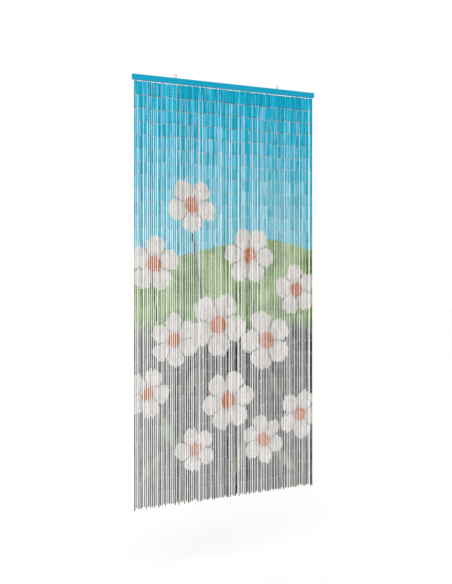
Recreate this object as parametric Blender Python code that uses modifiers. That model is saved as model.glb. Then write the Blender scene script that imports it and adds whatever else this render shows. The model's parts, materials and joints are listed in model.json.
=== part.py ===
"""Bamboo door curtain: a painted wooden head rail, its two screw eyes and one hundred hanging strands.

Metres, +Z up. The curtain faces -Y. The origin is midway between the tops of the two eyes'
holes, where hooks carry it.
"""

import math
import random

import bmesh
import bpy
from mathutils import Vector

NAME = "bamboo_door_curtain"

# Head rail: a planed batten.
RAIL_LENGTH = 1.015
RAIL_HEIGHT = 0.026
RAIL_THICKNESS = 0.015
RAIL_ROUNDING = 0.0010
FIT_GAP = 0.0003

# Screw eyes: one bent wire each, a ring on a shank.
EYE_SPACING = 0.571
EYE_WIRE = 0.0020
EYE_RING = 0.0170
EYE_RING_CLEARANCE = 0.0020
EYE_NECK = 0.0015
EYE_SHANK_DEPTH = 0.014
EYE_MOUTH_START = math.radians(-78)
EYE_MOUTH_END = math.radians(256)
EYE_RING_STEPS = 24
EYE_SHANK_SIDES = 16

# Strands: bamboo tubes on wire, as four-sided strings. A corner faces the front, so that
# the width across corners is the tubes' width and the gaps show from the side too.
STRAND_COUNT = 100
STRAND_PITCH = 0.010
STRAND_WIDTH = 0.0069
NECK_WIDTH = 0.0016
NECK_LENGTH = 0.0070
SHOULDER = 0.0012
DROP = 2.000
STRIP_DEPTH = 0.0030
STRIP_HEIGHT = 0.0020
STRIP_MARGIN = 0.0040

# Sway: how far a strand strays from its plumb line, and from the mean length.
# It settles into its stray over the first few tubes. Few strands stray the whole way,
# and none closes on its left neighbour by more than CLOSING_X.
SWAY_SEED = 58
STRAY_X = 0.0034
STRAY_Y = 0.0012
CLOSING_X = 0.0020
SETTLE_SHARE = 0.06
BOW_X = 0.0002
BOW_Y = 0.0008
DRIFT_X = 0.0012
DRIFT_STRANDS = 31
LENGTH_STRAY = 0.0070
# Shares of a strand's length at which its sections lie, below its shoulder.
SECTION_SHARES = (0.03, 0.10, 0.26, 0.48, 0.74, 1.0)

EYE_RADIUS = (EYE_RING - EYE_WIRE) / 2
EYE_HOLE_RADIUS = EYE_RADIUS - EYE_WIRE / 2
EYE_CENTRE_Z = -EYE_HOLE_RADIUS
RAIL_TOP_Z = EYE_CENTRE_Z - EYE_RING / 2 - EYE_RING_CLEARANCE
RAIL_BOTTOM_Z = RAIL_TOP_Z - RAIL_HEIGHT
STRAND_TOP_Z = RAIL_BOTTOM_Z - NECK_LENGTH
STRAND_TIP_Z = RAIL_TOP_Z - DROP
CORNER_SLACK = 0.25
STRIP_LENGTH = (STRAND_COUNT - 1) * STRAND_PITCH + STRAND_WIDTH + 2 * STRIP_MARGIN

COLOURS = {
    "blue_paint": ((0.015, 0.37, 0.58, 1.0), 0.45, 0.0),
    "steel": ((0.55, 0.55, 0.54, 1.0), 0.35, 1.0),
    "painted_bamboo": ((0.25, 0.45, 0.40, 1.0), 0.55, 0.0),
}


def clear_scene():
    for obj in list(bpy.data.objects):
        bpy.data.objects.remove(obj, do_unlink=True)


def new_collection(name):
    collection = bpy.data.collections.new(name)
    bpy.context.scene.collection.children.link(collection)
    return collection


def make_material(name):
    colour, roughness, metallic = COLOURS[name]
    material = bpy.data.materials.new(name)
    material.use_nodes = True
    shader = material.node_tree.nodes["Principled BSDF"]
    shader.inputs["Base Color"].default_value = colour
    shader.inputs["Roughness"].default_value = roughness
    shader.inputs["Metallic"].default_value = metallic
    material.diffuse_color = colour
    return material


def object_from_bmesh(name, mesh_data, collection):
    mesh = bpy.data.meshes.new(name)
    mesh_data.to_mesh(mesh)
    mesh_data.free()
    obj = bpy.data.objects.new(name, mesh)
    collection.objects.link(obj)
    return obj


def box_mesh(size, centre=(0.0, 0.0, 0.0)):
    box = bmesh.new()
    bmesh.ops.create_cube(box, size=1.0)
    bmesh.ops.scale(box, vec=size, verts=box.verts)
    bmesh.ops.translate(box, vec=centre, verts=box.verts)
    return box


def cut(obj, cutter):
    cutter.hide_render = True
    cutter.display_type = "WIRE"
    modifier = obj.modifiers.new("Cut " + cutter.name, "BOOLEAN")
    modifier.operation = "DIFFERENCE"
    modifier.solver = "EXACT"
    modifier.object = cutter


def make_head_rail(parts, cutters):
    centre = (0.0, 0.0, (RAIL_TOP_Z + RAIL_BOTTOM_Z) / 2)
    rail = object_from_bmesh("head_rail", box_mesh((RAIL_LENGTH, RAIL_THICKNESS, RAIL_HEIGHT)), parts)
    rail.location = centre
    rounding = rail.modifiers.new("Eased edges", "BEVEL")
    rounding.width = RAIL_ROUNDING
    rounding.segments = 2
    groove_size = (
        STRIP_LENGTH + 2 * FIT_GAP,
        STRIP_DEPTH + 2 * FIT_GAP,
        2 * (STRIP_HEIGHT + FIT_GAP),
    )
    groove = object_from_bmesh("groove_cutter", box_mesh(groove_size), cutters)
    groove.location = (0.0, 0.0, RAIL_BOTTOM_Z)
    cut(rail, groove)
    for side, label in ((-1, "left"), (1, "right")):
        hole = bmesh.new()
        radius = EYE_WIRE / 2 + FIT_GAP
        depth = EYE_SHANK_DEPTH + FIT_GAP
        bmesh.ops.create_cone(
            hole,
            cap_ends=True,
            segments=EYE_SHANK_SIDES,
            radius1=radius,
            radius2=radius,
            depth=2 * depth,
        )
        cutter = object_from_bmesh("eye_hole_cutter_" + label, hole, cutters)
        cutter.location = (side * EYE_SPACING / 2, 0.0, RAIL_TOP_Z)
        cut(rail, cutter)
    return rail


def eye_path():
    """Points of the bent wire, from the shank's foot up and once round the ring, about x = 0."""
    ring_bottom_z = EYE_CENTRE_Z - EYE_RADIUS
    points = [
        Vector((0.0, 0.0, RAIL_TOP_Z - EYE_SHANK_DEPTH)),
        Vector((0.0, 0.0, ring_bottom_z - EYE_NECK)),
    ]
    for step in range(EYE_RING_STEPS + 1):
        angle = EYE_MOUTH_START + (EYE_MOUTH_END - EYE_MOUTH_START) * step / EYE_RING_STEPS
        x = EYE_RADIUS * math.cos(angle)
        z = EYE_CENTRE_Z + EYE_RADIUS * math.sin(angle)
        points.append(Vector((x, 0.0, z)))
    return points


def make_eye(name, x, collection):
    curve = bpy.data.curves.new(name, "CURVE")
    curve.dimensions = "3D"
    curve.bevel_depth = EYE_WIRE / 2
    curve.bevel_resolution = 2
    curve.use_fill_caps = True
    points = eye_path()
    spline = curve.splines.new("POLY")
    spline.points.add(len(points) - 1)
    for spline_point, point in zip(spline.points, points):
        spline_point.co = (*point, 1.0)
    eye = bpy.data.objects.new(name, curve)
    eye.location = (x, 0.0, 0.0)
    collection.objects.link(eye)
    return eye


def strand_sways():
    """One dictionary for each strand: its strays sideways and forwards, its drift, bow and length."""
    chance = random.Random(SWAY_SEED)
    sways = []
    stray_x = 0.0
    for index in range(STRAND_COUNT):
        stray_x = max(STRAY_X * chance.uniform(-1, 1) ** 3, stray_x - CLOSING_X)
        sways.append(
            {
                "stray_x": stray_x,
                "stray_y": chance.uniform(-STRAY_Y, STRAY_Y),
                "drift_x": DRIFT_X * math.sin(2 * math.pi * index / DRIFT_STRANDS),
                "bow_x": chance.uniform(-BOW_X, BOW_X),
                "bow_y": chance.uniform(-BOW_Y, BOW_Y),
                "length": chance.uniform(-LENGTH_STRAY, LENGTH_STRAY),
            }
        )
    return sways


def strand_x(index):
    return (index - (STRAND_COUNT - 1) / 2) * STRAND_PITCH


def strand_point(index, sway, share):
    """The strand's centre line at a share of its length, 0 at its shoulder and 1 at its tip."""
    settled = 1 - math.exp(-share / SETTLE_SHARE)
    bow = math.sin(math.pi * share)
    aside = sway["stray_x"] * settled + sway["drift_x"] * share + sway["bow_x"] * bow
    forward = sway["stray_y"] * settled + sway["bow_y"] * bow
    tip_z = STRAND_TIP_Z + sway["length"]
    return Vector((strand_x(index) + aside, forward, STRAND_TOP_Z + (tip_z - STRAND_TOP_Z) * share))


def place_face(face, centre, width):
    """Makes a strand's open end a level square about this centre, of this width across corners.

    Each corner goes to the axis that it lies on or has just passed.
    """
    old_centre = face.calc_center_median()
    quarter = math.pi / 2
    for vertex in face.verts:
        spoke = vertex.co - old_centre
        turn = math.floor(math.atan2(spoke.y, spoke.x) / quarter + CORNER_SLACK) * quarter
        vertex.co = centre + Vector((math.cos(turn), math.sin(turn), 0.0)) * width / 2


def extrude_ends(mesh, ends):
    grown = bmesh.ops.extrude_discrete_faces(mesh, faces=ends)["faces"]
    return sorted(grown, key=lambda face: face.calc_center_median().x)


def root_faces(mesh):
    """The squares of the strip's underside from which the strands grow, left to right."""
    found = []
    for face in mesh.faces:
        centre = face.calc_center_median()
        slot = round(centre.x / STRAND_PITCH + (STRAND_COUNT - 1) / 2)
        on_strand = abs(centre.x - strand_x(slot)) < NECK_WIDTH / 4
        if face.normal.z < -0.5 and on_strand:
            found.append(face)
    return sorted(found, key=lambda face: face.calc_center_median().x)


def make_strands(collection):
    strip_centre = (0.0, 0.0, RAIL_BOTTOM_Z + STRIP_HEIGHT / 2)
    mesh = box_mesh((STRIP_LENGTH, STRIP_DEPTH, STRIP_HEIGHT), strip_centre)
    for index in range(STRAND_COUNT):
        for side in (-1, 1):
            bmesh.ops.bisect_plane(
                mesh,
                geom=mesh.verts[:] + mesh.edges[:] + mesh.faces[:],
                plane_co=(strand_x(index) + side * NECK_WIDTH / 2, 0.0, 0.0),
                plane_no=(1.0, 0.0, 0.0),
            )
    mesh.normal_update()
    sways = strand_sways()
    ends = extrude_ends(mesh, root_faces(mesh))
    neck_foot = Vector((0.0, 0.0, STRAND_TOP_Z + SHOULDER))
    for index, face in enumerate(ends):
        place_face(face, neck_foot + Vector((strand_x(index), 0.0, 0.0)), NECK_WIDTH)
    for share in (0.0, *SECTION_SHARES):
        ends = extrude_ends(mesh, ends)
        for index, face in enumerate(ends):
            place_face(face, strand_point(index, sways[index], share), STRAND_WIDTH)
    bmesh.ops.recalc_face_normals(mesh, faces=mesh.faces)
    return object_from_bmesh("strands", mesh, collection)


def main():
    clear_scene()
    parts = new_collection(NAME)
    cutters = new_collection("cutters")
    blue = make_material("blue_paint")
    steel = make_material("steel")
    rail = make_head_rail(parts, cutters)
    rail.data.materials.append(blue)
    for side, label in ((-1, "left"), (1, "right")):
        eye = make_eye("hanging_eye_" + label, side * EYE_SPACING / 2, parts)
        eye.data.materials.append(steel)
    strands = make_strands(parts)
    strands.data.materials.append(make_material("painted_bamboo"))
    carrier = bpy.data.objects.new(NAME, None)
    parts.objects.link(carrier)
    for obj in parts.objects:
        if obj is not carrier:
            obj.parent = carrier


main()
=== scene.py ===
"""Looks of the bamboo door curtain: painted tubes on wire links, a painted batten and steel screw eyes."""

import json
import math
import random
from functools import partial

import bmesh
import bpy
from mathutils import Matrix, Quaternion, Vector

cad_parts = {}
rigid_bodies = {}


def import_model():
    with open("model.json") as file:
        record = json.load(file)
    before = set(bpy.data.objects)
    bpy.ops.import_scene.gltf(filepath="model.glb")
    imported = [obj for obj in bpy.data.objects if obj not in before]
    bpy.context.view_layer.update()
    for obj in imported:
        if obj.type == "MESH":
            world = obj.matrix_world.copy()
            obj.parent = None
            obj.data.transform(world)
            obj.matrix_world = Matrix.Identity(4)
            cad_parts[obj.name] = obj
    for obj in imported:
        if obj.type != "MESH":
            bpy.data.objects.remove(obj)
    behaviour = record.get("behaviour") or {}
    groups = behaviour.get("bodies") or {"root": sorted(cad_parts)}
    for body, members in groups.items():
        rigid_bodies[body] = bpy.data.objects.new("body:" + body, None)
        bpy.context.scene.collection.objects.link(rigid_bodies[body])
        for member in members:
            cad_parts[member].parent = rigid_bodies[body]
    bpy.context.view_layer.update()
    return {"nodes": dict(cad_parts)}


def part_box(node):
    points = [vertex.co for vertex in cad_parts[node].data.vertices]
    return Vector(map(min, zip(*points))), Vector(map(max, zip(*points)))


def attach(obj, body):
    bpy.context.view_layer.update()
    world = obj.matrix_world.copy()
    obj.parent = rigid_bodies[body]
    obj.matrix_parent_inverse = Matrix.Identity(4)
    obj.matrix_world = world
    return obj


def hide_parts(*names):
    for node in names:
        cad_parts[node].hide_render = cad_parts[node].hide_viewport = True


bl_info = {
    "name": "Bamboo Door Curtain",
    "version": (1, 0, 0),
    "blender": (4, 5, 0),
    "location": "3D View > Sidebar > Curtain",
    "description": "Models a door curtain of painted bamboo tubes on wire links",
    "category": "Add Mesh",
}

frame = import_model()
RAIL_LOW, RAIL_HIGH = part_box("head_rail")
EYE_BOXES = {name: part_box(name) for name in ("hanging_eye_left", "hanging_eye_right")}
STRANDS_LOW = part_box("strands")[0]

BODY = "root"

# Strands, as in the solids: where they hang and how they stray from plumb.
STRAND_COUNT = 100
STRAND_PITCH = 0.010
NECK_LENGTH = 0.0070
DROP = 2.000
SWAY_SEED = 58
STRAY_X = 0.0034
STRAY_Y = 0.0012
CLOSING_X = 0.0020
SETTLE_SHARE = 0.06
BOW_X = 0.0002
BOW_Y = 0.0008
DRIFT_X = 0.0012
DRIFT_STRANDS = 31
LENGTH_STRAY = 0.0070
STRIP_DEPTH = 0.0030
STRIP_HEIGHT = 0.0020
STRIP_ENDS = 0.0149
STRAND_TOP_Z = RAIL_LOW[2] - NECK_LENGTH
STRAND_TIP_Z = RAIL_HIGH[2] - DROP

# Tubes and links. A strand's seeds are these plus its number.
JOINT_SEED = 7000
TUBE_SEED = 35000
LINK_SEED = 63000
TUBE_LENGTH = 0.0603
TUBE_SIDES = 10
WIRE_SIDES = 4
BEND_STEPS = 4
ELBOW_STEPS = 8
BLOCKS = 4
# A face is level where its normal has more than this much of Z.
LEVEL = 0.9

# The picture on the tubes. X is across the curtain and Z is below the strands' tops, in metres.
# Turns are in radians, and a lean is a share of the stem's length.
BLOSSOM_COLUMNS = ("Centre X", "Centre Z", "Radius", "Petals", "Turn")
BLOSSOMS = (
    (-0.200, -0.560, 0.130, 5, 0.30),
    (-0.400, -0.840, 0.132, 5, 1.05),
    (0.120, -0.800, 0.142, 6, 0.10),
    (0.400, -0.970, 0.126, 5, 0.80),
    (-0.290, -1.200, 0.128, 6, 0.45),
    (-0.060, -1.130, 0.158, 5, 0.20),
    (0.220, -1.220, 0.148, 5, 0.65),
    (-0.430, -1.440, 0.118, 5, 1.35),
    (0.000, -1.500, 0.148, 6, 0.90),
    (0.420, -1.600, 0.125, 5, 0.15),
    (-0.180, -1.720, 0.108, 5, 0.55),
    (0.200, -1.710, 0.122, 6, 0.35),
)
LEAF_COLUMNS = ("Centre X", "Centre Z", "Half length", "Half width", "Turn")
LEAVES = (
    (-0.330, -1.620, 0.110, 0.032, 1.10),
    (0.060, -1.790, 0.100, 0.030, 2.00),
    (0.330, -1.820, 0.110, 0.032, 0.75),
    (-0.420, -1.780, 0.090, 0.030, 2.30),
    (0.270, -1.440, 0.080, 0.026, 1.30),
    (-0.200, -1.400, 0.080, 0.026, 1.90),
)
STEM_COLUMNS = ("Top X", "Top Z", "Lean", "Length")
STEMS = (
    (-0.200, -0.660, 0.14, 0.360),
    (-0.400, -0.950, 0.10, 0.160),
    (0.120, -0.920, 0.16, 0.180),
    (0.400, -1.080, -0.12, 0.200),
)


def to_linear(hex_colour):
    """An sRGB hex value as a linear colour with alpha 1."""
    channels = [int(hex_colour[i : i + 2], 16) / 255 for i in (1, 3, 5)]
    linear = [c / 12.92 if c <= 0.04045 else ((c + 0.055) / 1.055) ** 2.4 for c in channels]
    return (*linear, 1.0)


def add_node(tree, kind, *values, inputs=None, **settings):
    """Adds a node. Values fill its inputs in order and inputs by name, from numbers, nodes or sockets.

    In a shader's tree the kind is named without its first word, ShaderNode.
    """
    of_shader = tree.bl_idname == "ShaderNodeTree" and not kind.startswith("NodeGroup")
    node = tree.nodes.new("ShaderNode" + kind if of_shader else kind)
    for name, value in settings.items():
        setattr(node, name, value)
    shown = [socket for socket in node.inputs if socket.enabled]
    wanted = list(zip(shown, values))
    wanted += [(node.inputs[name], value) for name, value in (inputs or {}).items()]
    for socket, value in wanted:
        if isinstance(value, bpy.types.Node):
            value = next(output for output in value.outputs if output.enabled)
        if isinstance(value, bpy.types.NodeSocket):
            tree.links.new(value, socket)
        elif value is not None:
            socket.default_value = value
    return node


def new_material(name):
    """An empty node material, and the function that adds its nodes."""
    material = bpy.data.materials.new(name)
    material.use_nodes = True
    material.node_tree.nodes.clear()
    return material, partial(add_node, material.node_tree)


def new_pattern(name, numbers, results):
    """A shader group with these inputs and outputs, the function that adds its nodes, and its inputs."""
    group = bpy.data.node_groups.new(name, "ShaderNodeTree")
    for side, labels in (("INPUT", numbers), ("OUTPUT", results)):
        for label in labels:
            group.interface.new_socket(label, in_out=side, socket_type="NodeSocketFloat")
    add = partial(add_node, group)
    return group, add, add("NodeGroupInput").outputs[: len(numbers)]


def blossom_pattern():
    """A round blossom of broad petals, as a brush paints it: petals, the shade between them and the core."""
    group, add, given = new_pattern(
        "Painted blossom", ("X", "Z", *BLOSSOM_COLUMNS), ("Petal", "Shade", "Core")
    )
    x, z, centre_x, centre_z, radius, petals, turn = given
    across = add("Math", x, centre_x, operation="SUBTRACT")
    up = add("Math", z, centre_z, operation="SUBTRACT")
    spoke = add("CombineXYZ", across, up)
    length = add("VectorMath", spoke, operation="LENGTH")
    reach = add("Math", length, radius, operation="DIVIDE")
    angle = add("Math", up, across, operation="ARCTAN2")
    turned = add("Math", angle, turn, operation="ADD")
    half = add("Math", petals, 0.5, operation="MULTIPLY")
    wave = add("Math", turned, half, operation="MULTIPLY")
    cosine = add("Math", wave, operation="COSINE")
    lobe = add("Math", cosine, operation="ABSOLUTE")
    # The rim draws in to 55 % of the radius between two petals. Edges are shares of the radius.
    full = add("Math", lobe, 0.45, operation="POWER")
    rim = add("Math", full, 0.45, 0.55, operation="MULTIPLY_ADD")
    inside = add("Math", rim, reach, operation="SUBTRACT")
    petal = add("MapRange", inside, 0.0, 0.03, 0.0, 1.0)
    notch = add("MapRange", lobe, 0.04, 0.30, 1.0, 0.0)
    throat = add("MapRange", reach, 0.25, 0.60, 0.55, 0.0)
    # Seven faint veins run along each petal.
    fold = add("Math", turned, 7.0, operation="MULTIPLY")
    ripple = add("Math", fold, petals, operation="MULTIPLY")
    crest = add("Math", ripple, operation="SINE")
    vein = add("MapRange", crest, 0.3, 1.0, 0.0, 0.30)
    lined = add("Math", notch, vein, operation="MAXIMUM")
    shade = add("Math", lined, throat, operation="MAXIMUM")
    core = add("MapRange", reach, 0.29, 0.27, 0.0, 1.0)
    add("NodeGroupOutput", petal, shade, core)
    return group


def leaf_pattern():
    """A pointed leaf, widest at its middle."""
    group, add, given = new_pattern("Painted leaf", ("X", "Z", *LEAF_COLUMNS), ("Leaf",))
    x, z, centre_x, centre_z, half_length, half_width, turn = given
    across = add("Math", x, centre_x, operation="SUBTRACT")
    up = add("Math", z, centre_z, operation="SUBTRACT")
    spoke = add("CombineXYZ", across, up)
    turned = add("VectorRotate", spoke, rotation_type="Z_AXIS", inputs={"Angle": turn})
    lengthwise, sideways, _ = add("SeparateXYZ", turned).outputs
    along = add("Math", lengthwise, half_length, operation="DIVIDE")
    squared = add("Math", along, along, operation="MULTIPLY")
    taper = add("Math", 1.0, squared, operation="SUBTRACT")
    edge = add("Math", taper, half_width, operation="MULTIPLY")
    aside = add("Math", sideways, operation="ABSOLUTE")
    inside = add("Math", edge, aside, operation="SUBTRACT")
    # The brush leaves a soft edge 14 mm wide.
    leaf = add("MapRange", inside, 0.0, 0.014, 0.0, 1.0)
    add("NodeGroupOutput", leaf)
    return group


def stem_pattern():
    """A thin stem, about 10 mm wide, that leans as it goes down from its top."""
    group, add, given = new_pattern("Painted stem", ("X", "Z", *STEM_COLUMNS), ("Stem",))
    x, z, top_x, top_z, lean, length = given
    down = add("Math", top_z, z, operation="SUBTRACT")
    bent = add("Math", down, lean, top_x, operation="MULTIPLY_ADD")
    aside = add("Math", x, bent, operation="SUBTRACT")
    off = add("Math", aside, operation="ABSOLUTE")
    near = add("MapRange", off, 0.006, 0.004, 0.0, 1.0)
    begun = add("Math", down, 0.0, operation="GREATER_THAN")
    short = add("Math", down, length, operation="LESS_THAN")
    span = add("Math", begun, short, operation="MULTIPLY")
    stem = add("Math", near, span, operation="MULTIPLY")
    add("NodeGroupOutput", stem)
    return group


def picture(add, colours, x, z, strand_tone):
    """The painted picture's colour: sky, a meadow, dark ground, leaves, stems and blossoms."""
    # Patches about 140 mm across, and the sway of a hand over about 60 mm.
    place = add("CombineXYZ", x, 0.0, z)
    clouds = add("TexNoise", place, inputs={"Scale": 7.0, "Detail": 2.0})
    sway = add("TexNoise", place, inputs={"Scale": 16.0, "Detail": 1.0})
    # The painter's hand strays by up to 15 mm across and 12 mm up and down.
    shift = add("Math", sway, 0.5, operation="SUBTRACT")
    x = add("Math", shift, 0.030, x, operation="MULTIPLY_ADD")
    z = add("Math", shift, -0.024, z, operation="MULTIPLY_ADD")

    height = add("MapRange", z, -0.04, -0.60, 0.0, 1.0)
    colour = add("Mix", height, colours.sky_top, colours.sky_low, data_type="RGBA")

    # The meadow's top is one long hill, 50 mm high, about 0.77 m under the strands' tops.
    wave = add("Math", x, 5.2, 0.6, operation="MULTIPLY_ADD")
    swell = add("Math", wave, operation="SINE")
    hill = add("Math", swell, 0.050, -0.765, operation="MULTIPLY_ADD")
    below = add("Math", hill, z, operation="SUBTRACT")
    meadow = add("MapRange", below, 0.0, 0.006, 0.0, 1.0)
    patch = add("MapRange", clouds, 0.40, 0.62, 0.0, 1.0)
    green = add("Mix", patch, colours.meadow_light, colours.meadow_dark, data_type="RGBA")
    colour = add("Mix", meadow, colour, green, data_type="RGBA")

    # The ground is paler towards the tips, on the left and on some strands, where its paint is rubbed.
    rough = add("Math", clouds, 0.16, z, operation="MULTIPLY_ADD")
    ground = add("MapRange", rough, -1.02, -1.10, 0.0, 1.0)
    low = add("MapRange", z, -1.20, -1.95, 0.0, 0.10)
    left = add("MapRange", x, -0.50, -0.25, 0.32, 0.0)
    faded = add("Math", low, left, operation="ADD")
    rubbed = add("MapRange", strand_tone, 0.55, 1.0, 0.0, 0.65)
    paler = add("Math", rubbed, faded, operation="ADD")
    grey = add("Mix", paler, colours.ground_dark, colours.ground_light, data_type="RGBA")
    colour = add("Mix", ground, colour, grey, data_type="RGBA")

    leaf_group, stem_group, blossom_group = leaf_pattern(), stem_pattern(), blossom_pattern()
    wash = add("MapRange", strand_tone, 0.0, 1.0, 0.25, 0.80)
    for row in LEAVES:
        leaf = add("Group", x, z, *row, node_tree=leaf_group)
        thin = add("Math", leaf, wash, operation="MULTIPLY")
        colour = add("Mix", thin, colour, colours.leaf, data_type="RGBA")
    for row in STEMS:
        stem = add("Group", x, z, *row, node_tree=stem_group)
        colour = add("Mix", stem, colour, colours.stem, data_type="RGBA")
    petal_tint = add("MapRange", clouds, 0.3, 0.7, 0.0, 0.35)
    for row in BLOSSOMS:
        blossom = add("Group", x, z, *row, node_tree=blossom_group)
        petal, shade, core = blossom.outputs
        shade = add("Math", shade, petal_tint, operation="MAXIMUM")
        petals = add("Mix", shade, colours.petal, colours.petal_shade, data_type="RGBA")
        colour = add("Mix", petal, colour, petals, data_type="RGBA")
        colour = add("Mix", core, colour, colours.core, data_type="RGBA")
    return colour


def finish_material(add, sockets, height=None, strength=0.0, depth=0.0):
    """A material's shader and output, with a relief of this depth in metres where it has one."""
    if height is not None:
        relief = {"Strength": strength, "Distance": depth, "Height": height}
        sockets["Normal"] = add("Bump", inputs=relief)
    shader = add("BsdfPrincipled", inputs=sockets)
    add("OutputMaterial", shader)


def painted_bamboo(colours, sizes):
    """Bamboo cut into tubes and painted: satin paint with brush streaks, and cut ends that show the cane."""
    material, add = new_material("painted_bamboo")
    place, local = (
        add("Attribute", attribute_name=label).outputs["Vector"]
        for label in ("place", "local")
    )
    tone, strand_tone, tip = (
        add("Attribute", attribute_name=label).outputs["Fac"]
        for label in ("tone", "strand_tone", "tip")
    )
    printed = add("VectorMath", place, local, operation="ADD")
    print_x, _, print_z = add("SeparateXYZ", printed).outputs
    side, _, along = add("SeparateXYZ", local).outputs
    paint = picture(add, colours, print_x, print_z, strand_tone)

    # Fibres about 0.5 mm wide run along the tube, and each tube has its own.
    apart = add("VectorMath", place, (37.0, 37.0, 37.0), operation="MULTIPLY")
    long = add("VectorMath", local, (2000.0, 2000.0, 40.0), operation="MULTIPLY")
    own = add("VectorMath", long, apart, operation="ADD")
    fibre = add("TexNoise", own, inputs={"Scale": 1.0, "Detail": 3.0})

    # No two tubes took the paint alike: the darker ones are also the more vivid.
    both_tones = add("Math", tone, strand_tone, operation="ADD")
    value = add("MapRange", both_tones, 0.0, 2.0, 0.66, 1.15)
    vividness = add("MapRange", both_tones, 0.0, 2.0, 1.14, 0.92)
    streak = add("MapRange", fibre, 0.3, 0.7, 0.84, 1.13)
    streaked = add("Math", value, streak, operation="MULTIPLY")
    # In the top rows the tubes lie close, and the shade between them is painted: each tube's paint darkens
    # towards its sides, less so in the rows below.
    radius = sizes.tube_width / 2
    aside = add("Math", side, operation="ABSOLUTE")
    gap_shade_level = add("MapRange", print_z, -0.03, -0.15, 0.66, 1.0)
    painted_gap_shade = add("MapRange", aside, 0.84 * radius, 0.97 * radius, 1.0, gap_shade_level)
    lit = add("Math", streaked, painted_gap_shade, operation="MULTIPLY")
    tint = {"Saturation": vividness, "Value": lit, "Color": paint}
    toned = add("HueSaturation", inputs=tint)
    # Where the paint is thin, the cane shows through along its fibres.
    straw = add("Mix", fibre, colours.straw, colours.straw_dark, data_type="RGBA")
    thin = add("MapRange", fibre, 0.62, 0.78, 0.0, 0.06)
    coated = add("Mix", thin, toned, straw, data_type="RGBA")

    # Both cut ends are rubbed pale over a ragged millimetre, most of all on the lighter tubes.
    end = TUBE_LENGTH / 2
    height = add("Math", along, operation="ABSOLUTE")
    ragged = add("Math", fibre, 0.0010, height, operation="MULTIPLY_ADD")
    rubbed = add("MapRange", tone, 0.45, 0.80, 0.10, 0.85)
    cut = add("MapRange", ragged, end - 0.0004, end - 0.0001, 0.0, rubbed)
    trimmed = add("Mix", cut, coated, colours.cut_cane, data_type="RGBA")
    # The last tube of a strand stayed bare over its lowest 7 mm or so.
    reach = add("Math", fibre, 0.004, along, operation="MULTIPLY_ADD")
    bare = add("MapRange", reach, 0.0095 - end, 0.0088 - end, 0.0, tip)
    tipped = add("Mix", bare, trimmed, colours.tip_cane, data_type="RGBA")
    # Inside the hole there is no paint.
    flat = add("VectorMath", local, (1.0, 1.0, 0.0), operation="MULTIPLY")
    out = add("VectorMath", flat, operation="LENGTH")
    wall_middle = (sizes.tube_width + sizes.tube_hole) / 4
    hollow = add("Math", out, wall_middle, operation="LESS_THAN")
    unshaded_surface = add("Mix", hollow, tipped, straw, data_type="RGBA")
    # Painted shade darkens the darker tubes' lower ends over 2 mm, much in the top rows and less below.
    down = add("Math", along, -1.0, operation="MULTIPLY")
    end_shade_reach = add("Math", fibre, 0.0020, down, operation="MULTIPLY_ADD")
    dark_tube = add("MapRange", tone, 0.30, 0.60, 1.0, 0.0)
    fading = add("MapRange", print_z, -0.14, -0.36, 0.9, 0.20)
    patchy = add("Math", dark_tube, fading, operation="MULTIPLY")
    end_shade_amount = add("Math", patchy, tip, operation="SUBTRACT")
    painted_end_shade_mask = add("MapRange", end_shade_reach, end - 0.0012, end - 0.0004, 0.0, end_shade_amount)
    surface = add("Mix", painted_end_shade_mask, unshaded_surface, colours.scorch, data_type="RGBA")

    roughness = add("MapRange", fibre, 0.3, 0.7, 0.50, 0.66)
    sockets = {"Base Color": surface, "Roughness": roughness, "Specular IOR Level": 0.12}
    finish_material(add, sockets, height=fibre, strength=0.35, depth=0.0003)
    return material


def painted_batten(colours):
    """Planed softwood under one coat of satin paint: brush strokes along it, thin at its edges."""
    material, add = new_material("painted_batten")
    where = add("TexCoord").outputs["Object"]
    # Brush hairs leave streaks about 0.8 mm wide and 120 mm long.
    stretched = add("VectorMath", where, (8.0, 1250.0, 1250.0), operation="MULTIPLY")
    strokes = add("TexNoise", stretched, inputs={"Scale": 1.0, "Detail": 3.0})
    # The grain shows through as bands about 4 mm wide.
    banded = add("VectorMath", where, (3.0, 250.0, 250.0), operation="MULTIPLY")
    grain = add("TexNoise", banded, inputs={"Scale": 1.0, "Detail": 2.0})
    mixed = add("Math", strokes, grain, operation="ADD")
    tint = add("MapRange", mixed, 0.75, 1.25, 0.0, 1.0)
    coat = add("Mix", tint, colours.rail_dark, colours.rail, data_type="RGBA")
    # Paint wears off within a millimetre of where two faces meet. Distances are from the middle line.
    middle_z = (RAIL_LOW[2] + RAIL_HIGH[2]) / 2
    half_height = (RAIL_HIGH[2] - RAIL_LOW[2]) / 2
    half_depth = (RAIL_HIGH[1] - RAIL_LOW[1]) / 2
    _, forward, up = add("SeparateXYZ", where).outputs
    rise = add("Math", up, middle_z, operation="SUBTRACT")
    high = add("Math", rise, operation="ABSOLUTE")
    deep = add("Math", forward, operation="ABSOLUTE")
    near_top = add("Math", high, half_height, operation="SUBTRACT")
    near_face = add("Math", deep, half_depth, operation="SUBTRACT")
    edge = add("Math", near_top, near_face, operation="ADD")
    close = add("MapRange", edge, -0.0013, -0.0005, 0.0, 0.5)
    # Chips are about 2 mm across.
    speck = add("TexNoise", where, inputs={"Scale": 420.0, "Detail": 3.0})
    chipped = add("MapRange", speck, 0.60, 0.68, 0.0, 1.0)
    worn = add("Math", close, chipped, operation="MULTIPLY")
    surface = add("Mix", worn, coat, colours.straw, data_type="RGBA")
    roughness = add("MapRange", strokes, 0.3, 0.7, 0.46, 0.60)
    sockets = {"Base Color": surface, "Roughness": roughness, "Specular IOR Level": 0.15}
    finish_material(add, sockets, height=mixed, strength=0.3, depth=0.0004)
    return material


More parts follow.
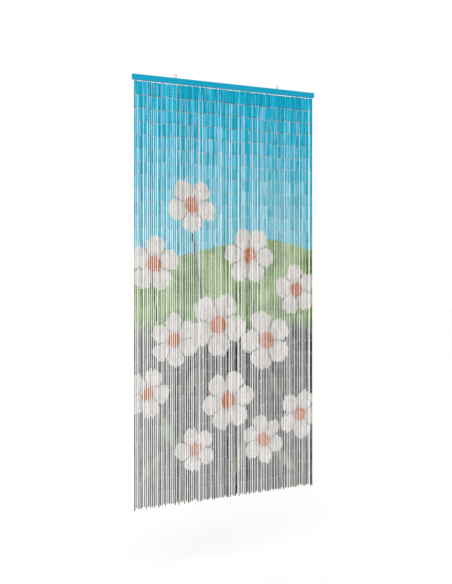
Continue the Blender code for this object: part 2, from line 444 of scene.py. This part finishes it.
def galvanised_wire(colours):
    """Drawn steel wire with a dull zinc coat: grey, softly mottled and half glossy."""
    material, add = new_material("galvanised_wire")
    where = add("TexCoord").outputs["Object"]
    # Zinc spangle about 1.5 mm across.
    spangle = add("TexNoise", where, inputs={"Scale": 650.0, "Detail": 2.0})
    colour = add("Mix", spangle, colours.zinc_dark, colours.zinc, data_type="RGBA")
    roughness = add("MapRange", spangle, 0.3, 0.7, 0.28, 0.48)
    sockets = {"Base Color": colour, "Metallic": 1.0, "Roughness": roughness}
    finish_material(add, sockets, height=spangle, strength=0.15, depth=0.0002)
    return material


def matt_floor(colours):
    """Matt pale paper, faintly uneven in patches about 330 mm across."""
    material, add = new_material("matt_floor")
    where = add("TexCoord").outputs["Object"]
    mottle = add("TexNoise", where, inputs={"Scale": 3.0, "Detail": 2.0})
    colour = add("Mix", mottle, colours.floor, colours.floor_shade, data_type="RGBA")
    finish_material(add, {"Base Color": colour, "Roughness": 0.9})
    return material


def deselect():
    """Leaves nothing selected and no mesh in edit mode."""
    if bpy.context.object and bpy.context.object.mode != "OBJECT":
        bpy.ops.object.mode_set(mode="OBJECT")
    bpy.ops.object.select_all(action="DESELECT")


def pick(obj, kind, test):
    """In edit mode, selects only the verts, edges or faces that pass the test."""
    bpy.ops.mesh.select_mode(type={"verts": "VERT", "edges": "EDGE", "faces": "FACE"}[kind])
    bpy.ops.mesh.select_all(action="DESELECT")
    mesh = bmesh.from_edit_mesh(obj.data)
    for element in getattr(mesh, kind):
        if test(element):
            element.select_set(True)
    bmesh.update_edit_mesh(obj.data)


def settle(obj):
    """Puts the object's place into its mesh, so that the object is at the origin, unturned."""
    bpy.ops.object.transform_apply(location=True, rotation=True, scale=True)
    bpy.context.view_layer.update()
    return obj


def finish_piece(obj, name, material, replaced):
    """Names a finished piece, gives it its finish, and hangs it on the curtain's body."""
    obj.name = name
    obj.data.name = name
    obj.data.materials.clear()
    obj.data.materials.append(material)
    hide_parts(*replaced)
    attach(obj, BODY)


def strand_sways():
    """One dictionary for each strand: its strays sideways and forwards, its drift, bow and length."""
    chance = random.Random(SWAY_SEED)
    sways = []
    stray_x = 0.0
    for index in range(STRAND_COUNT):
        stray_x = max(STRAY_X * chance.uniform(-1, 1) ** 3, stray_x - CLOSING_X)
        sways.append(
            {
                "stray_x": stray_x,
                "stray_y": chance.uniform(-STRAY_Y, STRAY_Y),
                "drift_x": DRIFT_X * math.sin(2 * math.pi * index / DRIFT_STRANDS),
                "bow_x": chance.uniform(-BOW_X, BOW_X),
                "bow_y": chance.uniform(-BOW_Y, BOW_Y),
                "length": chance.uniform(-LENGTH_STRAY, LENGTH_STRAY),
            }
        )
    return sways


def strand_x(index):
    """A strand's place along the rail, from the rail's middle."""
    return (index - (STRAND_COUNT - 1) / 2) * STRAND_PITCH


def strand_point(index, sway, share):
    """The strand's centre line at a share of its length, 0 at its first tube's top and 1 at its tip."""
    settled = 1 - math.exp(-share / SETTLE_SHARE)
    bow = math.sin(math.pi * share)
    aside = sway["stray_x"] * settled + sway["drift_x"] * share + sway["bow_x"] * bow
    forward = sway["stray_y"] * settled + sway["bow_y"] * bow
    tip_z = STRAND_TIP_Z + sway["length"]
    return Vector((strand_x(index) + aside, forward, STRAND_TOP_Z + (tip_z - STRAND_TOP_Z) * share))


def strand_joints(index, sway, sizes, chance):
    """The points at which a strand's tubes are linked, from under the rail down to its tip."""
    count = sizes.tubes_per_strand
    wander = [0.0]
    for _ in range(count):
        wander.append(wander[-1] + chance.uniform(-sizes.length_spread, sizes.length_spread))
    length = STRAND_TOP_Z - STRAND_TIP_Z - sway["length"]
    first_z = RAIL_LOW[2] - sizes.top_gap + sizes.joint_gap / 2
    first_z += chance.uniform(-sizes.staple_play, sizes.staple_play)
    staple_x = strand_x(index) + chance.uniform(-sizes.staple_stray, sizes.staple_stray)
    joints = [Vector((staple_x, 0.0, first_z))]
    for number in range(1, count + 1):
        evened = wander[number] - wander[-1] * number / count
        joint = strand_point(index, sway, number / count + evened / length)
        joint.x += chance.uniform(-sizes.joint_play, sizes.joint_play)
        joint.y += chance.uniform(-sizes.joint_play, sizes.joint_play)
        joints.append(joint)
    return joints


def all_joints(sizes):
    """The joints of every strand."""
    sways = strand_sways()
    return [
        strand_joints(index, sways[index], sizes, random.Random(JOINT_SEED + index))
        for index in range(STRAND_COUNT)
    ]


def turn_between(top, bottom, twist):
    """The Euler turn that stands a piece modelled along Z on the line from bottom to top."""
    lean = Vector((0, 0, 1)).rotation_difference(top - bottom)
    return (lean @ Quaternion((0, 0, 1), twist)).to_euler()


def nearest_strand(index, number, joints):
    """The smallest distance from a tube's ends to the tubes beside it."""
    beside = [joints[other] for other in (index - 1, index + 1) if 0 <= other < STRAND_COUNT]
    ends = [
        (joints[index][place] - strand[place]).xy.length
        for strand in beside
        for place in (number, number + 1)
    ]
    return min(ends)


def tube_rows(first, last, sizes, joints):
    """One dictionary for each tube of these strands: its place, its turn, its size and its paint."""
    rows = []
    for index in range(first, last):
        chance = random.Random(TUBE_SEED + index)
        strand_tone = chance.random()
        slip = chance.uniform(-sizes.paint_slip, sizes.paint_slip)
        for number, (top, bottom) in enumerate(zip(joints[index], joints[index][1:])):
            thick = math.exp(-number / sizes.narrowing_rows)
            width = sizes.tube_width + (sizes.first_tube_width - sizes.tube_width) * thick
            width += chance.uniform(-sizes.width_spread, sizes.width_spread)
            slimness = sizes.slim_share * min(1.0, sizes.top_row_slimness * (number + 1))
            width *= 1 - slimness * thick * chance.random() ** 3
            width = min(width, nearest_strand(index, number, joints) - sizes.clearance)
            gap = sizes.joint_gap + chance.uniform(-sizes.gap_spread, sizes.gap_spread)
            gap += sizes.top_slack * math.exp(-number / sizes.slack_rows)
            length = (top - bottom).length - gap
            middle = (top + bottom) / 2
            own_slip = chance.uniform(-sizes.tube_slip, sizes.tube_slip) * sizes.paint_slip
            widening = width / sizes.tube_width
            rows.append(
                {
                    "point": middle,
                    "turn": turn_between(top, bottom, chance.uniform(-sizes.twist, sizes.twist)),
                    "stretch": (widening, widening, length / TUBE_LENGTH),
                    "place": (strand_x(index), 0.0, middle.z - STRAND_TOP_Z + slip + own_slip),
                    "tone": chance.random(),
                    "strand_tone": strand_tone,
                    "tip": float(number == sizes.tubes_per_strand - 1),
                    "shape": chance.choices((0, 1, 2), sizes.shape_shares)[0],
                }
            )
    return rows


def link_rows(first, last, sizes, joints):
    """One dictionary for each link of these strands: a staple on top, pairs of hooks and an end turn.

    A staple is stretched to reach from the rail to its first tube.
    """
    pair, end_turn, staple = 0, 1, 2
    rows = []
    for index in range(first, last):
        chance = random.Random(LINK_SEED + index)
        drop = RAIL_LOW[2] - joints[index][0].z + sizes.joint_gap / 2
        top = Vector((joints[index][0].x, 0.0, RAIL_LOW[2] - drop / 2))
        end = joints[index][-1] + Vector((0.0, 0.0, sizes.wire_width))
        shapes = [staple] + [pair] * (sizes.tubes_per_strand - 1) + [end_turn]
        for shape, point in zip(shapes, [top, *joints[index][1:-1], end]):
            turn = 0.0 if shape == staple else chance.uniform(-math.pi, math.pi)
            stretch_z = drop / sizes.top_gap if shape == staple else 1.0
            rows.append(
                {
                    "point": point,
                    "turn": (0.0, 0.0, turn),
                    "stretch": (1.0, 1.0, stretch_z),
                    "shape": shape,
                }
            )
    return rows


def point_cloud(name, rows):
    """A mesh of loose points, one for each row, that carries the row's other values as attributes."""
    mesh = bpy.data.meshes.new(name)
    mesh.from_pydata([tuple(row.pop("point")) for row in rows], [], [])
    kinds = {int: ("INT", "value"), float: ("FLOAT", "value")}
    for label, first in rows[0].items():
        kind, field = kinds.get(type(first), ("FLOAT_VECTOR", "vector"))
        values = [row[label] for row in rows]
        if field == "vector":
            values = [number for value in values for number in value]
        mesh.attributes.new(label, kind, "POINT").data.foreach_set(field, values)
    obj = bpy.data.objects.new(name, mesh)
    bpy.context.scene.collection.objects.link(obj)
    return obj


def scatter_group(shapes):
    """Geometry nodes that set a shape of the collection on each point and make it all one mesh."""
    group = bpy.data.node_groups.new("Scatter " + shapes.name, "GeometryNodeTree")
    group.interface.new_socket("Geometry", in_out="INPUT", socket_type="NodeSocketGeometry")
    group.interface.new_socket("Geometry", in_out="OUTPUT", socket_type="NodeSocketGeometry")
    add = partial(add_node, group)
    points = add("NodeGroupInput")
    shape = add("GeometryNodeInputNamedAttribute", "shape", data_type="INT")
    turn = add("GeometryNodeInputNamedAttribute", "turn", data_type="FLOAT_VECTOR")
    turned = add("FunctionNodeEulerToRotation", turn)
    stretch = add("GeometryNodeInputNamedAttribute", "stretch", data_type="FLOAT_VECTOR")
    choice = add("GeometryNodeCollectionInfo", shapes, True, True)
    pieces = {"Points": points, "Instance": choice, "Pick Instance": True, "Instance Index": shape}
    turns = {"Rotation": turned, "Scale": stretch}
    placed = add("GeometryNodeInstanceOnPoints", inputs={**pieces, **turns})
    joined = add("GeometryNodeRealizeInstances", placed)
    add("NodeGroupOutput", joined)
    return group


def scatter(name, rows, group):
    """One joined mesh with a shape at each row's place."""
    deselect()
    cloud = point_cloud(name, rows)
    modifier = cloud.modifiers.new("Scatter", "NODES")
    modifier.node_group = group
    cloud.select_set(True)
    bpy.context.view_layer.objects.active = cloud
    bpy.ops.object.modifier_apply(modifier=modifier.name)
    for label in ("turn", "stretch", "shape"):
        cloud.data.attributes.remove(cloud.data.attributes[label])
    return cloud


def shape_collection(name, shapes):
    """The shapes alone in a collection of the scene, in their names' order."""
    collection = bpy.data.collections.new(name)
    bpy.context.scene.collection.children.link(collection)
    for shape in shapes:
        for owner in list(shape.users_collection):
            owner.objects.unlink(shape)
        collection.objects.link(shape)
    return collection


def discard(collection, group):
    """Removes the shapes, their collection and the nodes that scattered them."""
    for shape in list(collection.objects):
        bpy.data.meshes.remove(shape.data)
    bpy.data.collections.remove(collection)
    bpy.data.node_groups.remove(group)


def hang_pieces(name, material, shapes, make_rows, sizes):
    """Scatters the shapes along the strands, and makes one piece of each block of strands."""
    collection = shape_collection(name + "_shapes", shapes)
    group = scatter_group(collection)
    joints = all_joints(sizes)
    for block in range(BLOCKS):
        first, last = (STRAND_COUNT * edge // BLOCKS for edge in (block, block + 1))
        piece = scatter(name, make_rows(first, last, sizes, joints), group)
        finish_piece(piece, f"{name}_{block + 1}", material, ("strands",))
    discard(collection, group)


def keep_own_places(obj):
    """Stores each point's place on its shape, which its paint follows however the shape is hung."""
    local = obj.data.attributes.new("local", "FLOAT_VECTOR", "POINT")
    local.data.foreach_set("vector", [value for vert in obj.data.vertices for value in vert.co])


def close_mesh(angle):
    """In edit mode, turns all faces outwards. Leaves edit mode and smooths edges flatter than the angle."""
    bpy.ops.mesh.select_all(action="SELECT")
    bpy.ops.mesh.normals_make_consistent(inside=False)
    bpy.ops.object.mode_set(mode="OBJECT")
    bpy.ops.object.shade_smooth_by_angle(angle=math.radians(angle))


def model_tube(name, sizes, knuckle=0.0, taper=0.0):
    """A cut length of bamboo: an open tube with eased ends, with a knuckle or a taper if asked."""
    deselect()
    radius = sizes.tube_width / 2
    wall = radius - sizes.tube_hole / 2
    bpy.ops.mesh.primitive_cylinder_add(vertices=TUBE_SIDES, radius=radius, depth=TUBE_LENGTH)
    tube = bpy.context.object
    tube.name = name
    bpy.ops.object.mode_set(mode="EDIT")
    if knuckle:
        middle_z = sizes.knuckle_place
        for step in (-1, 0, 1):
            bpy.ops.mesh.select_all(action="SELECT")
            cut_z = middle_z + step * sizes.knuckle_height / 2
            bpy.ops.mesh.bisect(plane_co=(0, 0, cut_z), plane_no=(0, 0, 1))
        pick(tube, "verts", lambda vert: abs(vert.co.z - middle_z) < sizes.knuckle_height / 4)
        swell = 1 + knuckle / radius
        bpy.ops.transform.resize(value=(swell, swell, 1))
    if taper:
        pick(tube, "verts", lambda vert: vert.co.z > 0)
        narrow = 1 - taper / radius
        bpy.ops.transform.resize(value=(narrow, narrow, 1))
    pick(tube, "faces", lambda face: abs(face.normal.z) > LEVEL)
    bpy.ops.mesh.inset(thickness=wall)
    bpy.ops.mesh.bridge_edge_loops()
    end = TUBE_LENGTH / 2 - sizes.tube_ease / 4
    rim = radius - taper - wall / 2
    pick(
        tube,
        "edges",
        lambda edge: all(abs(v.co.z) > end and v.co.xy.length > rim for v in edge.verts),
    )
    bpy.ops.mesh.bevel(offset=sizes.tube_ease, segments=1)
    close_mesh(angle=40)
    keep_own_places(tube)
    return tube


def model_link(name, sizes, gap, leg, both=True):
    """Wire hooks across a gap between two tubes: a pair caught in each other, or the upper tube's alone."""
    deselect()
    radius = sizes.wire_width / 2
    bend = sizes.hook_width / 2 - radius
    bend_z = radius - bend
    foot = gap / 2 + leg
    bpy.ops.mesh.primitive_circle_add(
        vertices=WIRE_SIDES, radius=radius, fill_type="NGON", location=(bend, 0, bend_z)
    )
    link = settle(bpy.context.object)
    link.name = name
    bpy.ops.object.mode_set(mode="EDIT")
    bpy.ops.mesh.select_all(action="SELECT")
    bpy.ops.mesh.spin(steps=BEND_STEPS, angle=math.pi, center=(0, 0, bend_z), axis=(0, 1, 0))
    pick(
        link,
        "faces",
        lambda face: abs(face.calc_center_median().z - bend_z) < radius / 4
        and abs(face.normal.z) > LEVEL,
    )
    bpy.ops.mesh.extrude_region_move(TRANSFORM_OT_translate={"value": (0, 0, -foot - bend_z)})
    bpy.ops.mesh.select_all(action="SELECT")
    if both:
        bpy.ops.mesh.duplicate()
    bpy.ops.transform.rotate(value=math.pi, orient_axis="X", center_override=(0, 0, 0))
    if both:
        bpy.ops.transform.rotate(value=math.pi / 2, orient_axis="Z", center_override=(0, 0, 0))
    close_mesh(angle=100)
    keep_own_places(link)
    return link


def model_eye(name, sizes):
    """A screw eye: one wire, up its shank, over a short elbow and round a ring to its filed tip."""
    low, high = EYE_BOXES[name]
    radius = sizes.eye_wire / 2
    ring = sizes.eye_ring / 2 - radius
    start, end = sizes.eye_start, sizes.eye_end
    centre = Vector(((low[0] + high[0]) / 2, 0.0, high[2] - radius - ring))
    begin = centre + Vector((ring * math.cos(start), 0.0, ring * math.sin(start)))
    # The elbow's arc runs on from the ring and ends on the shank's line.
    elbow = ring * math.cos(start) / (1 - math.cos(start))
    elbow_centre = Vector((centre.x + elbow, 0.0, begin.z + elbow * math.sin(start)))
    deselect()
    bpy.ops.mesh.primitive_circle_add(
        vertices=sizes.eye_sides,
        radius=radius,
        fill_type="NGON",
        location=begin,
        rotation=(0, -start, 0),
    )
    eye = settle(bpy.context.object)
    bpy.ops.object.mode_set(mode="EDIT")
    bpy.ops.mesh.select_all(action="SELECT")
    bpy.ops.mesh.spin(steps=sizes.eye_steps, angle=end - start, center=centre, axis=(0, 1, 0))
    bpy.ops.mesh.bevel(offset=radius / 3, segments=2)
    pick(eye, "faces", lambda face: (face.calc_center_median() - begin).length < radius / 4)
    bpy.ops.mesh.spin(steps=ELBOW_STEPS, angle=-start, center=elbow_centre, axis=(0, 1, 0))
    bpy.ops.mesh.extrude_region_move(TRANSFORM_OT_translate={"value": (0, 0, low[2] - elbow_centre.z)})
    close_mesh(angle=50)
    return eye


def number_property(name, description, default, **limits):
    """A setting that is a plain number."""
    return bpy.props.FloatProperty(name=name, description=description, default=default, **limits)


def length_property(name, description, metres):
    """A length setting with this default."""
    return number_property(name, description, metres, unit="LENGTH")


def share_property(name, description, share):
    """A setting that is a share of something, from 0 to 1."""
    return number_property(name, description, share, subtype="FACTOR", min=0.0, max=1.0)


def angle_property(name, description, degrees):
    """An angle setting with this default in degrees."""
    return number_property(name, description, math.radians(degrees), unit="ROTATION")


def count_property(name, description, default, least):
    """A setting that counts pieces or steps."""
    return bpy.props.IntProperty(name=name, description=description, default=default, min=least)


def place_property(name, description, place):
    """A point in the scene, in metres."""
    return bpy.props.FloatVectorProperty(
        name=name, description=description, default=place, subtype="TRANSLATION", unit="LENGTH"
    )


def colour_property(name, description, hex_colour):
    """A colour setting with this sRGB default."""
    return bpy.props.FloatVectorProperty(
        name=name, description=description, default=to_linear(hex_colour), subtype="COLOR", size=4
    )


class CurtainSizes(bpy.types.PropertyGroup):
    tubes_per_strand: count_property("Tubes per strand", "Bamboo tubes on one strand", 32, 2)
    tube_width: length_property("Tube width", "Width that the tubes near the tip close in on", 0.0061)
    first_tube_width: length_property(
        "Top tube width", "Mean width in the top row; the rows below narrow to the tube width", 0.0097
    )
    narrowing_rows: number_property(
        "Narrowing rows", "Rows in which most of the narrowing is done", 8.5, min=0.1
    )
    width_spread: length_property("Width spread", "How far a tube's width strays from the mean", 0.0003)
    slim_share: share_property(
        "Slim share", "How much narrower the slimmest tubes are, as a share of their width", 0.24
    )
    top_row_slimness: share_property(
        "Top row slimness", "Share of the slim share in the top row; each row below has as much more", 0.55
    )
    tube_hole: length_property("Tube hole", "Width of the hole along a tube", 0.0034)
    tube_ease: length_property("Tube ease", "How far the ends are eased", 0.0004)
    knuckle_swell: length_property("Knuckle swell", "How far a knuckle stands out from its tube", 0.0004)
    knuckle_place: length_property("Knuckle place", "How far a knuckle is above its tube's middle", 0.006)
    knuckle_height: length_property(
        "Knuckle height", "Length of the swelling where the cane had a leaf", 0.0050
    )
    taper: length_property("Taper", "How much a tapering tube's radius lessens", 0.0003)
    length_spread: length_property("Length spread", "How far a tube's length strays from the mean", 0.0034)
    joint_gap: length_property("Joint gap", "Space between two tubes", 0.0008)
    gap_spread: length_property(
        "Gap spread", "How far a tube's length leaves its gaps from the mean", 0.0006
    )
    top_slack: length_property(
        "Top slack", "How much wider the uppermost gaps stand than the lower ones", 0.0008
    )
    slack_rows: number_property("Slack rows", "Rows in which most of the slack is gone", 3.0, min=0.1)
    top_gap: length_property("Top gap", "Space between the rail and the tubes under it", 0.0044)
    staple_play: length_property("Staple play", "How far the top gap strays from the mean", 0.0019)
    clearance: length_property("Clearance", "The least space between two tubes side by side", 0.0002)
    staple_stray: length_property(
        "Staple stray", "How far a staple is from its place along the rail", 0.0004
    )
    joint_play: length_property("Joint play", "How far a joint strays from its strand's line", 0.0003)
    twist: angle_property("Twist", "How far a tube turns about its own line", 28)
    paint_slip: length_property(
        "Paint slip", "How far a strand has slipped since the picture was painted", 0.0062
    )
    tube_slip: share_property("Tube slip", "A tube's own slip, as a share of its strand's", 0.3)
    shape_shares: bpy.props.FloatVectorProperty(
        name="Shape shares",
        description="How many tubes are plain, have a knuckle and taper",
        default=(0.72, 0.16, 0.12),
        size=3,
    )
    wire_width: length_property("Wire width", "Width of the linking wire", 0.0008)
    hook_width: length_property("Hook width", "Width of a wire hook", 0.0029)
    hook_leg: length_property("Hook leg", "How far a hook goes into its tube", 0.0030)
    staple_leg: length_property("Staple leg", "How far a staple goes into the lath", 0.0018)
    lath_ease: length_property("Lath ease", "How far the lath's edges are eased", 0.0004)
    eye_wire: length_property("Eye wire", "Width of the screw eyes' wire", 0.0020)
    eye_ring: length_property("Eye ring", "Width of the screw eyes' rings", 0.0170)
    eye_start: angle_property("Eye start", "Angle on the ring at which it runs on from the elbow", -78)
    eye_end: angle_property("Eye end", "Angle on the ring at which the wire ends", 256)
    eye_sides: count_property("Eye sides", "Sides of the screw eyes' wire", 16, 6)
    eye_steps: count_property("Eye steps", "Steps round the screw eyes' rings", 56, 12)


class CurtainColours(bpy.types.PropertyGroup):
    rail: colour_property("Rail", "Paint on the batten", "#009CBC")
    rail_dark: colour_property("Rail, thick", "Paint on the batten where it is thick", "#0092B4")
    sky_top: colour_property("Sky, top", "Sky under the rail", "#00B4D4")
    sky_low: colour_property("Sky, low", "Sky over the meadow", "#58B9CC")
    meadow_light: colour_property("Meadow, light", "Light meadow", "#90AC70")
    meadow_dark: colour_property("Meadow, dark", "Dark meadow", "#5C8436")
    ground_dark: colour_property("Ground, dark", "Dark ground", "#0C0D0F")
    ground_light: colour_property("Ground, light", "Light ground", "#A2A3A1")
    leaf: colour_property("Leaf", "Leaves on the ground", "#A4B494")
    stem: colour_property("Stem", "Stems", "#343F38")
    petal: colour_property("Petal", "Petals", "#DAD5D0")
    petal_shade: colour_property("Petal shade", "Shade between the petals", "#8E8A86")
    core: colour_property("Core", "Middles of the blossoms", "#B86A3E")
    straw: colour_property("Straw", "Bare bamboo and softwood", "#9C7E6A")
    straw_dark: colour_property("Straw, dark", "Bare bamboo's dark fibres", "#5E463A")
    cut_cane: colour_property("Cut cane", "Cut ends of the tubes", "#B8ACA2")
    tip_cane: colour_property("Tip cane", "Bare tips of the strands", "#8E7F65")
    # The colour of the painted shade on the tubes' lower ends.
    scorch: colour_property("Scorch", "Lower ends of the tubes", "#3E2C2C")
    zinc: colour_property("Zinc", "Zinc coat", "#6C6C69")
    zinc_dark: colour_property("Zinc, dark", "Dark spangle of the zinc coat", "#4C4C4A")
    floor: colour_property("Floor", "Floor", "#FFFFFF")
    floor_shade: colour_property("Floor, shade", "Darker patches of the floor", "#FDFDFD")


class CurtainStage(bpy.types.PropertyGroup):
    camera_place: place_property("Camera place", "Where the camera stands", (-2.3451, -4.0074, -0.8765))
    camera_turn: angle_property(
        "Camera turn", "How far the camera looks to the right of straight ahead", 30.225
    )
    lens: number_property("Lens", "Focal length in millimetres on a 36 mm sensor", 59.02)
    shift: number_property("Shift", "Vertical shift, as a share of the frame's height", -0.0528)
    floor_drop: length_property("Floor drop", "Height of the strands' tips over the floor", 0.35)
    floor_size: length_property("Floor size", "Length of the floor's side", 40.0)
    room_light: number_property("Room light", "Strength of the white surroundings", 1.02)
    key_place: place_property("Key place", "Where the large soft light stands", (-3.2, -3.6, 1.6))
    key_aim: place_property("Key aim", "Where the large soft light points", (0.0, 0.0, -1.0))
    key_size: length_property("Key size", "Length of the large soft light's side", 2.4)
    key_power: number_property("Key power", "Power of the large soft light", 45.0, unit="POWER")


class CURTAIN_OT_stage(bpy.types.Operator):
    """Lays the floor and sets up the light and the camera"""

    bl_idname = "curtain.stage"
    bl_label = "Stage"

    def execute(self, context):
        stage = context.scene.curtain_stage
        deselect()
        bpy.ops.mesh.primitive_plane_add(
            size=stage.floor_size, location=(0, 0, STRANDS_LOW[2] - stage.floor_drop)
        )
        floor = settle(context.object)
        floor.name = "floor"
        floor.data.materials.append(matt_floor(context.scene.curtain_colours))

        world = bpy.data.worlds.new("white_room")
        world.use_nodes = True
        background = world.node_tree.nodes["Background"]
        background.inputs["Color"].default_value = (1, 1, 1, 1)
        background.inputs["Strength"].default_value = stage.room_light
        context.scene.world = world
        context.scene.view_settings.view_transform = "Standard"

        bpy.ops.object.light_add(type="AREA", location=stage.key_place)
        key = context.object
        key.name = "soft_key"
        key.data.shape = "SQUARE"
        key.data.size = stage.key_size
        key.data.energy = stage.key_power
        aim = Vector(stage.key_aim) - key.location
        key.rotation_euler = aim.to_track_quat("-Z", "Y").to_euler()

        bpy.ops.object.camera_add(
            location=stage.camera_place, rotation=(math.pi / 2, 0, -stage.camera_turn)
        )
        camera = context.object
        camera.name = "photo_camera"
        camera.data.sensor_width = 36.0
        camera.data.lens = stage.lens
        camera.data.shift_y = stage.shift
        camera.data.dof.use_dof = False
        context.scene.camera = camera
        return {"FINISHED"}


class CURTAIN_OT_head_rail(bpy.types.Operator):
    """Paints the batten"""

    bl_idname = "curtain.head_rail"
    bl_label = "Head rail"

    def execute(self, context):
        rail = frame["nodes"]["head_rail"]
        rail.data.materials.clear()
        rail.data.materials.append(shared_finish(painted_batten, context))
        return {"FINISHED"}


class CURTAIN_OT_screw_eyes(bpy.types.Operator):
    """Bends the two screw eyes"""

    bl_idname = "curtain.screw_eyes"
    bl_label = "Screw eyes"

    def execute(self, context):
        for name in EYE_BOXES:
            eye = model_eye(name, context.scene.curtain_sizes)
            finish_piece(eye, name + "_wire", shared_finish(galvanised_wire, context), (name,))
        return {"FINISHED"}


class CURTAIN_OT_groove_lath(bpy.types.Operator):
    """Lets the lath that holds the strands' staples into the batten's groove"""

    bl_idname = "curtain.groove_lath"
    bl_label = "Groove lath"

    def execute(self, context):
        length = (STRAND_COUNT - 1) * STRAND_PITCH + STRIP_ENDS
        deselect()
        bpy.ops.mesh.primitive_cube_add(
            size=1,
            location=(0, 0, RAIL_LOW[2] + STRIP_HEIGHT / 2),
            scale=(length, STRIP_DEPTH, STRIP_HEIGHT),
        )
        lath = settle(context.object)
        bpy.ops.object.mode_set(mode="EDIT")
        bpy.ops.mesh.select_all(action="SELECT")
        bpy.ops.mesh.bevel(offset=context.scene.curtain_sizes.lath_ease, segments=2)
        bpy.ops.object.mode_set(mode="OBJECT")
        material = shared_finish(painted_batten, context)
        finish_piece(lath, "groove_lath", material, ("strands",))
        return {"FINISHED"}


class CURTAIN_OT_bamboo_tubes(bpy.types.Operator):
    """Models, paints and hangs the bamboo tubes"""

    bl_idname = "curtain.bamboo_tubes"
    bl_label = "Bamboo tubes"

    def execute(self, context):
        sizes = context.scene.curtain_sizes
        material = painted_bamboo(context.scene.curtain_colours, sizes)
        # The names put the shapes in the order in which shape_shares gives them.
        shapes = (
            model_tube("tube_a_plain", sizes),
            model_tube("tube_b_knuckle", sizes, knuckle=sizes.knuckle_swell),
            model_tube("tube_c_taper", sizes, taper=sizes.taper),
        )
        hang_pieces("bamboo_tubes", material, shapes, tube_rows, sizes)
        return {"FINISHED"}


class CURTAIN_OT_wire_links(bpy.types.Operator):
    """Bends and hangs the wire links between the tubes"""

    bl_idname = "curtain.wire_links"
    bl_label = "Wire links"

    def execute(self, context):
        sizes = context.scene.curtain_sizes
        # The names put the shapes in the order in which link_rows counts them.
        shapes = (
            model_link("link_a_pair", sizes, sizes.joint_gap, sizes.hook_leg),
            model_link("link_b_end", sizes, sizes.joint_gap, sizes.hook_leg, both=False),
            model_link("link_c_staple", sizes, sizes.top_gap, sizes.staple_leg),
        )
        material = shared_finish(galvanised_wire, context)
        hang_pieces("wire_links", material, shapes, link_rows, sizes)
        return {"FINISHED"}


def shared_finish(make, context):
    """The finish that this function makes, which bears its name. It is made for the first piece only."""
    return bpy.data.materials.get(make.__name__) or make(context.scene.curtain_colours)


PIECE_OPERATORS = (
    CURTAIN_OT_stage,
    CURTAIN_OT_head_rail,
    CURTAIN_OT_screw_eyes,
    CURTAIN_OT_groove_lath,
    CURTAIN_OT_bamboo_tubes,
    CURTAIN_OT_wire_links,
)


class CURTAIN_PT_panel(bpy.types.Panel):
    """Lists the curtain's pieces and their settings"""

    bl_idname = "CURTAIN_PT_panel"
    bl_label = "Bamboo door curtain"
    bl_space_type = "VIEW_3D"
    bl_region_type = "UI"
    bl_category = "Curtain"

    def draw(self, context):
        for operator in PIECE_OPERATORS:
            self.layout.operator(operator.bl_idname)
        for settings in ("curtain_sizes", "curtain_colours", "curtain_stage"):
            box = self.layout.box()
            group = getattr(context.scene, settings)
            for name in group.bl_rna.properties.keys():
                if name not in ("rna_type", "name"):
                    box.prop(group, name)


CLASSES = (CurtainSizes, CurtainColours, CurtainStage, *PIECE_OPERATORS, CURTAIN_PT_panel)


def register():
    for cls in CLASSES:
        bpy.utils.register_class(cls)
    bpy.types.Scene.curtain_sizes = bpy.props.PointerProperty(type=CurtainSizes)
    bpy.types.Scene.curtain_colours = bpy.props.PointerProperty(type=CurtainColours)
    bpy.types.Scene.curtain_stage = bpy.props.PointerProperty(type=CurtainStage)


def unregister():
    del bpy.types.Scene.curtain_stage
    del bpy.types.Scene.curtain_colours
    del bpy.types.Scene.curtain_sizes
    for cls in reversed(CLASSES):
        bpy.utils.unregister_class(cls)


def main():
    register()
    bpy.ops.curtain.stage()
    bpy.ops.curtain.head_rail()
    bpy.ops.curtain.screw_eyes()
    bpy.ops.curtain.groove_lath()
    bpy.ops.curtain.bamboo_tubes()
    bpy.ops.curtain.wire_links()


if __name__ == "__main__":
    main()
